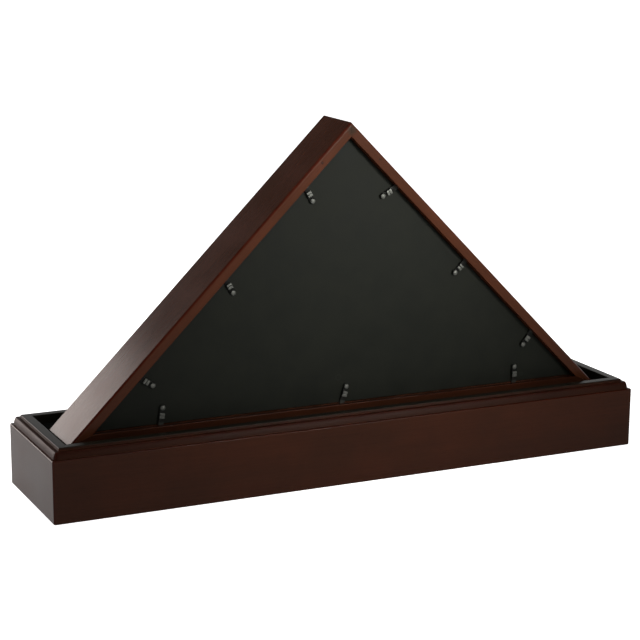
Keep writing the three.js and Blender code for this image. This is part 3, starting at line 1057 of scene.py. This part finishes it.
def grow(item, tree, values, edge=0.0):
    # runs a tree on an object and turns the result into its mesh, edges eased when asked
    modifier = item.modifiers.new("grow", "NODES")
    modifier.node_group = tree
    for socket in tree.interface.items_tree:
        if socket.in_out == "INPUT" and socket.name in values:
            modifier[socket.identifier] = values[socket.name]
    if edge:
        bevel = item.modifiers.new("ease", "BEVEL")
        bevel.width = edge
        bevel.segments = easeSteps
        bevel.limit_method = "ANGLE"
        bevel.angle_limit = math.radians(easeFrom)
    return bakeModifiers(item)


def pointObject(name, places):
    mesh = bpy.data.meshes.new(name)
    mesh.from_pydata([tuple(place) for place in places], [], [])
    item = bpy.data.objects.new(name, mesh)
    bpy.context.scene.collection.objects.link(item)
    return item


def transformed(tree, geometry, place, size=None):
    inputs = {"Geometry": geometry, "Translation": place}
    if size is not None:
        inputs["Scale"] = size
    return put(tree, "GeometryNodeTransform", inputs).outputs[0]


def joined(tree, *parts):
    node = put(tree, "GeometryNodeJoinGeometry")
    for part in parts:
        tree.links.new(part, node.inputs[0])
    return node.outputs[0]


def combined(tree, x=0.0, y=0.0, z=0.0):
    return put(tree, "ShaderNodeCombineXYZ", {0: x, 1: y, 2: z}).outputs[0]


def cylinder(tree, radius, depth, low, sides=32):
    inputs = {"Vertices": sides, "Radius": radius, "Depth": depth}
    mesh = put(tree, "GeometryNodeMeshCylinder", inputs).outputs["Mesh"]
    middle = maths(tree, "ADD", low, maths(tree, "MULTIPLY", depth, 0.5))
    return transformed(tree, mesh, combined(tree, z=middle))


# turn buttons and rivets

buttonSettings = {
    "reach": 21 * mm,
    "halfWidth": 3 * mm,
    "thickness": 1.2 * mm,
    "holeRadius": 1.7 * mm,
    "tipRound": 0.8 * mm,
    "gripStart": 5.9 * mm,
    "ridgeLength": 2.6 * mm,
    "ridgePitch": 3.4 * mm,
    "ridgeHeight": 1.9 * mm,
}
buttonShape = {
    "endRounding": 0.98,  # of the half width
    "filletSteps": 10,
    "holeSides": 28,
    "ridgeSunk": 0.3 * mm,
    "ridgeShare": 0.96,  # of the width
    "edge": 0.28 * mm,
    "lift": 1 * mm,  # above the panel
    "sharpFrom": 40,
}
buttonLeans = {
    "right": (18, 17, -10.5),  # degrees from square to the rail
    "left": (15, 1, -7),
    "bottom": (7, 14.5, -1),
}
squareHeadings = {"right": 45, "left": 135, "bottom": -90}
rivetSettings = {
    "headRadius": 3.3 * mm,
    "headHeight": 1.7 * mm,
    "headLow": 2.35 * mm,  # above the panel's rear face
    "shankRadius": 1.4 * mm,
    "shankLow": -2.5 * mm,
    "collarRadius": 2.8 * mm,
    "collarLow": 0.1 * mm,
    "collarHeight": 0.8 * mm,
}
rivetShape = {
    "segments": 40,
    "rings": 24,
    "underside": 0.1 * mm,  # how far the head bulges below its rim
    "sharpFrom": 40,
}


def setPolyFillet(node):
    # the fillet's mode is a property or a menu socket, by version
    if hasattr(node, "mode"):
        node.mode = "POLY"
    else:
        node.inputs["Mode"].default_value = "Poly"


def buttonTree():
    tree, given = newTree("turnButton", [*buttonSettings, "finish"])
    s = buttonShape
    half, thickness = given["halfWidth"], given["thickness"]
    length = maths(tree, "ADD", given["reach"], half)
    width = maths(tree, "MULTIPLY", half, 2.0)
    sizes = {"Width": length, "Height": width}
    outline = put(tree, "GeometryNodeCurvePrimitiveQuadrilateral", sizes)
    shift = maths(tree, "MULTIPLY", maths(tree, "SUBTRACT", given["reach"], half), 0.5)
    strip = transformed(tree, outline.outputs[0], combined(tree, x=shift))
    position = put(tree, "GeometryNodeInputPosition").outputs[0]
    along = put(tree, "ShaderNodeSeparateXYZ", {0: position}).outputs[0]
    atPivot = maths(tree, "LESS_THAN", along, 0.0)
    roundEnd = maths(tree, "MULTIPLY", atPivot, maths(tree, "MULTIPLY", half, s["endRounding"]))
    roundTip = maths(tree, "MULTIPLY", maths(tree, "SUBTRACT", 1.0, atPivot), given["tipRound"])
    radius = maths(tree, "ADD", roundEnd, roundTip)
    filleted = put(tree, "GeometryNodeFilletCurve", {"Curve": strip, "Radius": radius})
    for socket in filleted.inputs:
        if socket.name == "Count":
            socket.default_value = s["filletSteps"]
    setPolyFillet(filleted)
    circle = {"Resolution": s["holeSides"], "Radius": given["holeRadius"]}
    hole = put(tree, "GeometryNodeCurvePrimitiveCircle", circle)
    curves = joined(tree, filleted.outputs[0], hole.outputs[0])
    filled = put(tree, "GeometryNodeFillCurve", {"Curve": curves})
    inputs = {"Mesh": filled.outputs[0], "Offset Scale": thickness}
    raised = put(tree, "GeometryNodeExtrudeMesh", inputs)
    raised.inputs["Individual"].default_value = False
    under = put(tree, "GeometryNodeFlipFaces", {"Mesh": filled.outputs[0]})
    plate = joined(tree, raised.outputs["Mesh"], under.outputs[0])
    inputs = {"Geometry": plate, "Distance": mergeDistance}
    closed = put(tree, "GeometryNodeMergeByDistance", inputs)
    tall = maths(tree, "ADD", given["ridgeHeight"], s["ridgeSunk"])
    wide = maths(tree, "MULTIPLY", width, s["ridgeShare"])
    ridgeSize = combined(tree, given["ridgeLength"], wide, tall)
    ridge = put(tree, "GeometryNodeMeshCube", {"Size": ridgeSize}).outputs["Mesh"]
    ridgeFoot = maths(tree, "SUBTRACT", thickness, s["ridgeSunk"])
    height = maths(tree, "ADD", ridgeFoot, maths(tree, "MULTIPLY", tall, 0.5))
    first = maths(tree, "ADD", given["gripStart"], maths(tree, "MULTIPLY", given["ridgeLength"], 0.5))
    second = maths(tree, "ADD", first, given["ridgePitch"])
    parts = [closed.outputs[0]]
    for middle in (first, second):
        parts.append(transformed(tree, ridge, combined(tree, middle, 0.0, height)))
    endTree(tree, keptLocal(tree, joined(tree, *parts), position), given["finish"])
    return tree


def rivetTree():
    tree, given = newTree("rivet", [*rivetSettings, "finish"])
    s = rivetShape
    sizes = {"Segments": s["segments"], "Rings": s["rings"], "Radius": 1.0}
    ball = put(tree, "GeometryNodeMeshUVSphere", sizes)
    position = put(tree, "GeometryNodeInputPosition").outputs[0]
    axes = put(tree, "ShaderNodeSeparateXYZ", {0: position}).outputs
    x = maths(tree, "MULTIPLY", axes[0], given["headRadius"])
    y = maths(tree, "MULTIPLY", axes[1], given["headRadius"])
    dome = maths(tree, "MULTIPLY", maths(tree, "MAXIMUM", axes[2], 0.0), given["headHeight"])
    under = maths(tree, "MULTIPLY", maths(tree, "MINIMUM", axes[2], 0.0), s["underside"])
    z = maths(tree, "ADD", maths(tree, "ADD", dome, under), given["headLow"])
    inputs = {"Geometry": ball.outputs[0], "Position": combined(tree, x, y, z)}
    head = put(tree, "GeometryNodeSetPosition", inputs)
    depth = maths(tree, "SUBTRACT", given["headLow"], given["shankLow"])
    shank = cylinder(tree, given["shankRadius"], depth, given["shankLow"])
    collar = cylinder(tree, given["collarRadius"], given["collarHeight"], given["collarLow"])
    # heights count from the strip's underside, as the button's do
    drop = {0: position, 1: (0, 0, -buttonShape["lift"])}
    lowered = put(tree, "ShaderNodeVectorMath", drop, operation="ADD").outputs[0]
    rivet = keptLocal(tree, joined(tree, head.outputs[0], shank, collar), lowered)
    facingBack = (math.radians(-90), 0, 0)
    inputs = {"Points": given["Geometry"], "Instance": rivet, "Rotation": facingBack}
    placed = put(tree, "GeometryNodeInstanceOnPoints", inputs)
    endTree(tree, placed.outputs[0], given["finish"])
    return tree


def makeButtons():
    tree = buttonTree()
    s = buttonShape
    values = {**buttonSettings, "finish": finishes["blackMetal"]}
    rivetPlaces = []
    for side, leans in buttonLeans.items():
        for number, lean in enumerate(leans, 1):
            label = f"{side}_{number}"
            low, high = boxes["rivet_" + label]
            middle = (low + high) / 2
            rivetPlaces.append((middle.x, panelRear, middle.z))
            # the pointing way turns from +X towards +Z
            heading = math.radians(squareHeadings[side] + lean)
            pointing = Vector((math.cos(heading), 0, math.sin(heading)))
            outwards = Vector((0, 1, 0))
            across = outwards.cross(pointing)
            item = pointObject("turnButton_" + label, [])
            grow(item, tree, values, s["edge"])
            turned = Matrix((pointing, across, outwards)).transposed().to_4x4()
            moved = Matrix.Translation((middle.x, panelRear + s["lift"], middle.z))
            item.data.transform(moved @ turned)
            item.data.set_sharp_from_angle(angle=math.radians(s["sharpFrom"]))
            standsFor(item, "button_" + label, "black_metal", "turn_button_" + label)
    rivets = pointObject("rivets", rivetPlaces)
    grow(rivets, rivetTree(), {**rivetSettings, "finish": finishes["blackMetal"]})
    rivets.data.set_sharp_from_angle(angle=math.radians(rivetShape["sharpFrom"]))
    replaced = [name for name in nodes if name.startswith("rivet_")]
    standsFor(rivets, "flag_case", "black_metal", *replaced)


makeButtons()
print("turn buttons and rivets made")


# feet and screws under the pedestal

padSettings = {
    "radius": 6 * mm,
    "height": 3.7 * mm,
    "fray": 0.1 * mm,
}
padShape = {
    "sides": 72,
    "sideSteps": 3,
    "fillSteps": 8,
    "frayScale": 900.0,
    "frayDetail": 2.0,
    "sharpFrom": 50,
}
screwSettings = {
    "headRadius": 3.6 * mm,
    "headHeight": 2.2 * mm,
    "shankRadius": 1.75 * mm,
    "length": 21.5 * mm,
    "slotLength": 4.2 * mm,
    "slotWidth": 0.9 * mm,
    "slotDepth": 1.3 * mm,
}
screwShape = {
    "sides": 40,
    "crossShare": 1.9,  # times the slot's depth, the slot itself takes 2
    "seed": 7,
    "sharpFrom": 30,
}
cornerLabels = ("back_right", "back_left", "front_right", "front_left")


def padTree():
    tree, given = newTree("feltPad", [*padSettings, "finish"])
    s = padShape
    inputs = {
        "Vertices": s["sides"],
        "Side Segments": s["sideSteps"],
        "Fill Segments": s["fillSteps"],
        "Radius": given["radius"],
        "Depth": given["height"],
    }
    disc = put(tree, "GeometryNodeMeshCylinder", inputs)
    position = put(tree, "GeometryNodeInputPosition").outputs[0]
    inputs = {"Vector": position, "Scale": s["frayScale"], "Detail": s["frayDetail"]}
    fuzz = put(tree, "ShaderNodeTexNoise", inputs).outputs["Fac"]
    amount = maths(tree, "MULTIPLY", maths(tree, "SUBTRACT", fuzz, 1.0), given["fray"])
    shrink = maths(tree, "ADD", 1.0, maths(tree, "DIVIDE", amount, given["height"]))
    inputs = {0: position, "Scale": shrink}
    inwards = put(tree, "ShaderNodeVectorMath", inputs, operation="SCALE").outputs[0]
    lifted = maths(tree, "MULTIPLY", given["height"], 0.5)
    inputs = {"Geometry": disc.outputs[0], "Position": inwards}
    ruffled = put(tree, "GeometryNodeSetPosition", inputs)
    seated = transformed(tree, ruffled.outputs[0], combined(tree, z=lifted))
    inputs = {"Points": given["Geometry"], "Instance": seated}
    placed = put(tree, "GeometryNodeInstanceOnPoints", inputs)
    endTree(tree, placed.outputs[0], given["finish"])
    return tree


def screwTree():
    tree, given = newTree("bottomScrew", [*screwSettings, "finish"])
    s = screwShape
    inputs = {
        "Vertices": s["sides"],
        "Radius Top": given["shankRadius"],
        "Radius Bottom": given["headRadius"],
        "Depth": given["headHeight"],
    }
    head = put(tree, "GeometryNodeMeshCone", inputs).outputs["Mesh"]
    slotDeep = maths(tree, "MULTIPLY", given["slotDepth"], 2.0)
    crossDeep = maths(tree, "MULTIPLY", given["slotDepth"], s["crossShare"])
    slotSize = combined(tree, given["slotLength"], given["slotWidth"], slotDeep)
    crossSize = combined(tree, given["slotWidth"], given["slotLength"], crossDeep)
    slot = put(tree, "GeometryNodeMeshCube", {"Size": slotSize}).outputs["Mesh"]
    cross = put(tree, "GeometryNodeMeshCube", {"Size": crossSize}).outputs["Mesh"]
    recessed = put(tree, "GeometryNodeMeshBoolean", {0: head}, operation="DIFFERENCE")
    for tool in (slot, cross):
        tree.links.new(tool, recessed.inputs[1])
    depth = maths(tree, "SUBTRACT", given["length"], given["headHeight"])
    shank = cylinder(tree, given["shankRadius"], depth, given["headHeight"])
    turn = put(tree, "FunctionNodeRandomValue", {"Seed": s["seed"]}, data_type="FLOAT")
    for socket in turn.inputs:
        if socket.name == "Max" and socket.type == "VALUE" and socket.enabled:
            socket.default_value = math.pi
    spin = combined(tree, z=turn.outputs[1])
    screw = joined(tree, recessed.outputs[0], shank)
    inputs = {"Points": given["Geometry"], "Instance": screw, "Rotation": spin}
    placed = put(tree, "GeometryNodeInstanceOnPoints", inputs)
    endTree(tree, placed.outputs[0], given["finish"])
    return tree


def bottomMiddle(name):
    low, high = boxes[name]
    return ((low.x + high.x) / 2, (low.y + high.y) / 2, low.z)


def makeFixings():
    kinds = (
        ("feltPads", "felt_pad_", padTree, padSettings, padShape, "felt"),
        ("bottomScrews", "bottom_screw_", screwTree, screwSettings, screwShape, "steel"),
    )
    for name, node, tree, settings, shape, finish in kinds:
        replaced = [node + label for label in cornerLabels]
        item = pointObject(name, [bottomMiddle(label) for label in replaced])
        grow(item, tree(), {**settings, "finish": finishes[finish]})
        item.data.set_sharp_from_angle(angle=math.radians(shape["sharpFrom"]))
        standsFor(item, "pedestal", finish, *replaced)


makeFixings()
print("felt pads and screws made")


# pieces whose shape is already right

# faint rings from an earlier drilling: rivet, how far across and up from it, radius, strength
washerSettings = [
    ("rivet_bottom_2", 9 * mm, 11 * mm, 3.2 * mm, 0.35),
    ("rivet_bottom_3", 16 * mm, -5 * mm, 2.4 * mm, 0.3),
    ("rivet_bottom_3", -12 * mm, -11 * mm, 1.8 * mm, 0.3),
]


def washerMarks():
    marks = []
    for rivet, across, up, radius, strength in washerSettings:
        low, high = boxes[rivet]
        marks.append(((low.x + high.x) / 2 + across, (low.z + high.z) / 2 + up, radius, strength))
    return marks


finishes["panel"] = blackHardboard("blackHardboard", washerMarks())
nodeFinishes = {
    "back_panel": "panel",
    "glass_pane": "glass",
    "recess_deck": "plywood",
    "bottom_panel": "plywood",
    "deck_ledger_back": "pine",
    "deck_ledger_front": "pine",
    "mitre_nail_apex": "steel",
    "mitre_nail_foot_right": "steel",
    "mitre_nail_foot_left": "steel",
    "apex_pin_right": "blackMetal",
    "apex_pin_left": "blackMetal",
}
for label in cornerLabels:
    nodeFinishes["glue_block_" + label] = "pine"
for name, finish in nodeFinishes.items():
    for slot in nodes[name].material_slots:
        slot.material = finishes[finish]
print("carried pieces painted:", len(nodeFinishes))


# studio

studioSettings = {
    "floorSize": 60.0,
    "floorColour": (0.84, 0.84, 0.84, 1),
    "floorRoughness": 0.9,
    "floorGlow": 0.72,  # the floor is a lit table
    "floorBounce": 0.29,  # what it sends back softly from below
    "floorSeen": 1.05,  # how it looks by itself
    "wallGlow": 1.10,  # bright low down
    "roomGlow": 0.05,  # dim above
    "wallTop": 0.26,  # sine of the elevation where the bright band starts to fade
    "wallEnd": 0.36,
    "roomColour": (1.0, 0.995, 0.985, 1),
}
studioLights = {
    "overhead": {
        "place": (0.0, 0.5, 2.3),
        "aim": (0.0, 0.0, 0.0),
        "size": (2.4, 2.4),
        "radiance": 1.6,
        "colour": (1.0, 1.0, 1.0),
        "spread": 180,
    },
    "key": {
        "place": (-0.46, 1.22, 0.62),
        "aim": (-0.07, 0.04, 0.34),
        "size": (0.4, 0.4),
        "radiance": 3.6,
        "colour": (1.0, 1.0, 0.97),
        "spread": 30,
    },
    "backCard": {
        "place": (0.95, -1.25, 0.31),
        "aim": (0.33, 0.0, 0.10),
        "size": (0.86, 0.62),
        "radiance": 9.0,
        "colour": (1.0, 0.88, 0.83),
        "spread": 180,
    },
}


def makeFloor(settings):
    half = settings["floorSize"] / 2
    mesh = bpy.data.meshes.new("studioFloor")
    corners = [(-half, -half, 0), (half, -half, 0), (half, half, 0), (-half, half, 0)]
    mesh.from_pydata(corners, [], [(0, 1, 2, 3)])
    material, tree, shader = newMaterial("paleFloor")
    shader.inputs["Base Color"].default_value = settings["floorColour"]
    shader.inputs["Roughness"].default_value = settings["floorRoughness"]
    shader.inputs["Specular IOR Level"].default_value = 0.0
    shader.inputs["Emission Color"].default_value = (1, 1, 1, 1)
    rays = put(tree, "ShaderNodeLightPath").outputs
    bounce = (settings["floorGlow"], settings["floorBounce"])
    glow = ranged(tree, rays["Is Diffuse Ray"], 0.0, 1.0, *bounce)
    seen = maths(tree, "MULTIPLY", rays["Is Camera Ray"], settings["floorSeen"])
    glow = maths(tree, "MAXIMUM", glow, seen)
    link(tree, glow, shader, "Emission Strength")
    floor = addObject("studioFloor", mesh, material)


def makeLight(name, settings):
    data = bpy.data.lights.new(name, "AREA")
    data.shape = "RECTANGLE"
    data.size, data.size_y = settings["size"]
    data.energy = settings["radiance"] * math.pi * data.size * data.size_y
    data.color = settings["colour"]
    data.spread = math.radians(settings["spread"])
    light = bpy.data.objects.new(name, data)
    bpy.context.scene.collection.objects.link(light)
    place = Vector(settings["place"])
    light.matrix_world = aimedMatrix(place, place - Vector(settings["aim"]))
    light.visible_camera = False


def makeRoom(settings):
    # a soft white wall low down all round, fading to a dim ceiling
    world = bpy.data.worlds.new("paleRoom")
    world.use_nodes = True
    tree = world.node_tree
    background = tree.nodes["Background"]
    direction = put(tree, "ShaderNodeTexCoord").outputs["Generated"]
    height = put(tree, "ShaderNodeSeparateXYZ", {0: direction}).outputs["Z"]
    fade = {
        "Value": height, "From Min": settings["wallTop"], "From Max": settings["wallEnd"],
        "To Min": settings["wallGlow"], "To Max": settings["roomGlow"],
    }
    glow = put(tree, "ShaderNodeMapRange", fade, interpolation_type="SMOOTHSTEP").outputs["Result"]
    background.inputs["Color"].default_value = settings["roomColour"]
    tree.links.new(glow, background.inputs["Strength"])
    bpy.context.scene.world = world


def makeStudio():
    makeFloor(studioSettings)
    for name, settings in studioLights.items():
        makeLight(name, settings)
    makeRoom(studioSettings)


makeStudio()
print("studio ready")
